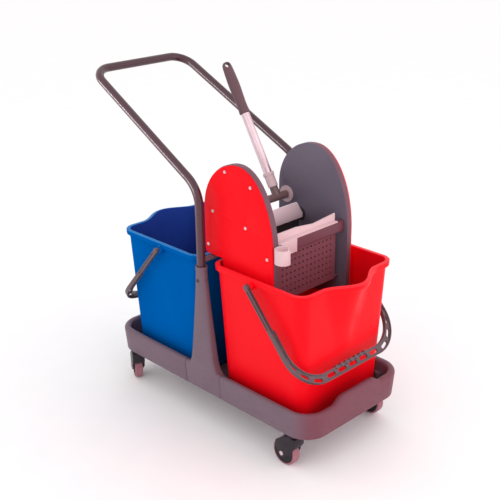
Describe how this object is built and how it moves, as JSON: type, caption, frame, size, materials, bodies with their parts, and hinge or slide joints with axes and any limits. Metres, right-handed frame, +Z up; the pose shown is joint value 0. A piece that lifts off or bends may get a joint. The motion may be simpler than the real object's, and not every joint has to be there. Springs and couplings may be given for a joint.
{
  "type": "mop bucket trolley",
  "caption": "Double mop bucket trolley with red and blue buckets, a lever wringer over the front bucket, a bent tube push handle and swivel casters",
  "frame": {"origin": "on the floor, under the middle of the whole trolley", "axes": "+Z up, +X towards the wringer end, +Y to the trolley's left"},
  "size_m": [0.9315, 0.4466, 1.0136],
  "materials": {
    "base_plastic": "moulded plastic with a light sheen",
    "handle_paint": "powder-coated steel tube",
    "bright_steel": "zinc-plated steel",
    "black_plastic": "black moulded plastic",
    "wheel_tread": "grey non-marking tread",
    "red_plastic": "red moulded plastic",
    "blue_plastic": "blue moulded plastic",
    "dark_plastic": "dark grey moulded plastic",
    "grey_plastic": "grey moulded plastic",
    "white_plastic": "off-white moulded plastic",
    "lever_alu": "plain aluminium tube",
    "gear_steel": "cast gear sectors, hidden"
  },
  "bodies": {
    "chassis": {"front_tray": "base_plastic", "rear_tray": "base_plastic", "centre_frame": "base_plastic", "push_handle": "handle_paint", "cross_bar": "handle_paint", "handle_screws": "bright_steel", "front_right_stem": "bright_steel", "front_left_stem": "bright_steel", "rear_right_stem": "bright_steel", "rear_left_stem": "bright_steel"},
    "red_bucket": {"red_bucket": "red_plastic"},
    "blue_bucket": {"blue_bucket": "blue_plastic"},
    "red_bail": {"red_bail": "dark_plastic"},
    "blue_bail": {"blue_bail": "dark_plastic"},
    "wringer": {"right_wall": "grey_plastic", "left_wall": "grey_plastic", "right_cover": "red_plastic", "left_cover": "red_plastic", "cover_screws": "bright_steel", "press_basket": "grey_plastic", "front_rail": "grey_plastic", "lip_clip": "white_plastic", "shaft_bushings": "white_plastic", "jaw_bushings": "white_plastic"},
    "lever": {"lever_shaft": "bright_steel", "lever_ferrule": "white_plastic", "lever_tube": "lever_alu", "lever_grip": "dark_plastic", "right_lever_gear": "gear_steel", "left_lever_gear": "gear_steel"},
    "jaw": {"jaw_shaft": "bright_steel", "jaw_plate": "dark_plastic", "jaw_lip": "white_plastic", "right_jaw_gear": "gear_steel", "left_jaw_gear": "gear_steel"},
    "front_right_swivel": {"front_right_fork": "black_plastic", "front_right_axle": "bright_steel"},
    "front_right_wheel": {"front_right_hub": "black_plastic", "front_right_tyre": "wheel_tread"},
    "front_left_swivel": {"front_left_fork": "black_plastic", "front_left_axle": "bright_steel"},
    "front_left_wheel": {"front_left_hub": "black_plastic", "front_left_tyre": "wheel_tread"},
    "rear_right_swivel": {"rear_right_fork": "black_plastic", "rear_right_axle": "bright_steel"},
    "rear_right_wheel": {"rear_right_hub": "black_plastic", "rear_right_tyre": "wheel_tread"},
    "rear_left_swivel": {"rear_left_fork": "black_plastic", "rear_left_axle": "bright_steel"},
    "rear_left_wheel": {"rear_left_hub": "black_plastic", "rear_left_tyre": "wheel_tread"}
  },
  "joints": [
    {"name": "front_right_swivel", "type": "hinge", "parent": "chassis", "child": "front_right_swivel", "pos_m": [0.38225, -0.186, 0.095], "axis": [0, 0, 1], "continuous": true},
    {"name": "front_right_roll", "type": "hinge", "parent": "front_right_swivel", "child": "front_right_wheel", "pos_m": [0.35725, -0.186, 0.04], "axis": [0, 1, 0], "continuous": true},
    {"name": "front_left_swivel", "type": "hinge", "parent": "chassis", "child": "front_left_swivel", "pos_m": [0.38225, 0.186, 0.095], "axis": [0, 0, 1], "continuous": true},
    {"name": "front_left_roll", "type": "hinge", "parent": "front_left_swivel", "child": "front_left_wheel", "pos_m": [0.35725, 0.186, 0.04], "axis": [0, 1, 0], "continuous": true},
    {"name": "rear_right_swivel", "type": "hinge", "parent": "chassis", "child": "rear_right_swivel", "pos_m": [-0.30575, -0.186, 0.095], "axis": [0, 0, 1], "continuous": true},
    {"name": "rear_right_roll", "type": "hinge", "parent": "rear_right_swivel", "child": "rear_right_wheel", "pos_m": [-0.3274, -0.1735, 0.04], "axis": [0.5, 0.866, 0], "continuous": true},
    {"name": "rear_left_swivel", "type": "hinge", "parent": "chassis", "child": "rear_left_swivel", "pos_m": [-0.30575, 0.186, 0.095], "axis": [0, 0, 1], "continuous": true},
    {"name": "rear_left_roll", "type": "hinge", "parent": "rear_left_swivel", "child": "rear_left_wheel", "pos_m": [-0.3274, 0.1985, 0.04], "axis": [0.5, 0.866, 0], "continuous": true},
    {"name": "red_lift", "type": "slide", "parent": "chassis", "child": "red_bucket", "axis": [0, 0, 1], "range_m": [0, 0.12]},
    {"name": "blue_lift", "type": "slide", "parent": "chassis", "child": "blue_bucket", "axis": [0, 0, 1], "range_m": [0, 0.12]},
    {"name": "wringer_lift", "type": "slide", "parent": "red_bucket", "child": "wringer", "axis": [0, 0, 1], "range_m": [0, 0.22]},
    {"name": "red_bail_swing", "type": "hinge", "parent": "red_bucket", "child": "red_bail", "pos_m": [0.22825, 0, 0.502], "axis": [0, -1, 0], "range_deg": [0, 105]},
    {"name": "blue_bail_swing", "type": "hinge", "parent": "blue_bucket", "child": "blue_bail", "pos_m": [-0.15175, 0, 0.502], "axis": [0, 1, 0], "range_deg": [0, 105]},
    {"name": "lever_pull", "type": "hinge", "parent": "wringer", "child": "lever", "pos_m": [0.04725, 0, 0.64], "axis": [0, 1, 0], "range_deg": [0, 70]},
    {"name": "jaw_press", "type": "hinge", "parent": "wringer", "child": "jaw", "pos_m": [0.10025, 0, 0.592], "axis": [0, 1, 0], "range_deg": [-42, 0]}
  ],
  "couplings": [
    {"joint": "jaw_press", "follows": "lever_pull", "ratio": -0.6}
  ]
}
